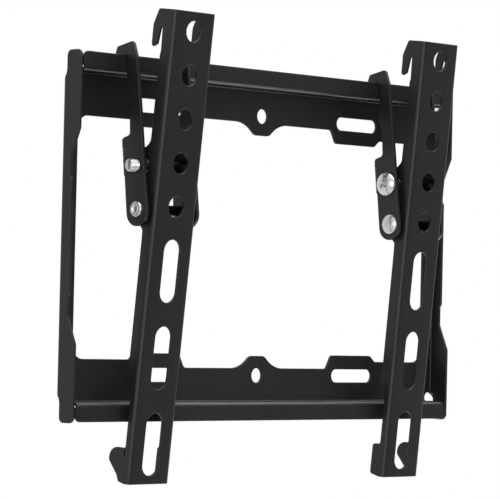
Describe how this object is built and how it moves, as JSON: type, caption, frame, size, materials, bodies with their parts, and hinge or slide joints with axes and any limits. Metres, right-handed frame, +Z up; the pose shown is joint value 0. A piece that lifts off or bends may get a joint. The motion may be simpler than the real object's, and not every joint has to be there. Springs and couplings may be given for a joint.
{
  "type": "tv mount",
  "caption": "Tilting television wall mount: a folded steel wall plate with two hooked arms that slide along its top lip and tilt on riveted brackets.",
  "frame": {"origin": "middle of the wall plate's back face, on the wall", "axes": "+X to the right as seen from the room, +Y into the wall, +Z up"},
  "size_m": [0.257, 0.0388, 0.2163],
  "materials": {
    "powder_coat": "satin black powder coat with a fine grain",
    "zinc": "bright zinc plated steel",
    "nylon": "black nylon washers"
  },
  "bodies": {
    "wall_plate": {"wall_plate": "powder_coat"},
    "left_bracket": {"left_bracket": "powder_coat", "left_pivot_rivet": "zinc", "left_pivot_washer_outer": "nylon", "left_pivot_washer_inner": "nylon", "left_lock_washer_outer": "nylon", "left_lock_washer_inner": "nylon"},
    "left_arm": {"left_arm": "powder_coat"},
    "left_lock_screw": {"left_lock_screw": "zinc"},
    "right_bracket": {"right_bracket": "powder_coat", "right_pivot_rivet": "zinc", "right_pivot_washer_outer": "nylon", "right_pivot_washer_inner": "nylon", "right_lock_washer_outer": "nylon", "right_lock_washer_inner": "nylon"},
    "right_arm": {"right_arm": "powder_coat"},
    "right_lock_screw": {"right_lock_screw": "zinc"}
  },
  "joints": [
    {"name": "left_bracket_slide", "type": "slide", "parent": "wall_plate", "child": "left_bracket", "axis": [1, 0, 0], "range_m": [-0.021, 0.061]},
    {"name": "left_arm_tilt", "type": "hinge", "parent": "left_bracket", "child": "left_arm", "pos_m": [-0.0832, -0.02063, 0.0131], "axis": [1, 0, 0], "range_deg": [-6.4, 0.6]},
    {"name": "left_lock_screw_turn", "type": "hinge", "parent": "left_bracket", "child": "left_lock_screw", "pos_m": [-0.0832, -0.01851, 0.03299], "axis": [1, 0, 0], "range_deg": [0, 180]},
    {"name": "right_bracket_slide", "type": "slide", "parent": "wall_plate", "child": "right_bracket", "axis": [1, 0, 0], "range_m": [-0.067, 0.016]},
    {"name": "right_arm_tilt", "type": "hinge", "parent": "right_bracket", "child": "right_arm", "pos_m": [0.0889, -0.02063, 0.0131], "axis": [1, 0, 0], "range_deg": [-5.7, 1.3]},
    {"name": "right_lock_screw_turn", "type": "hinge", "parent": "right_bracket", "child": "right_lock_screw", "pos_m": [0.0889, -0.01851, 0.03299], "axis": [-1, 0, 0], "range_deg": [0, 180]}
  ]
}
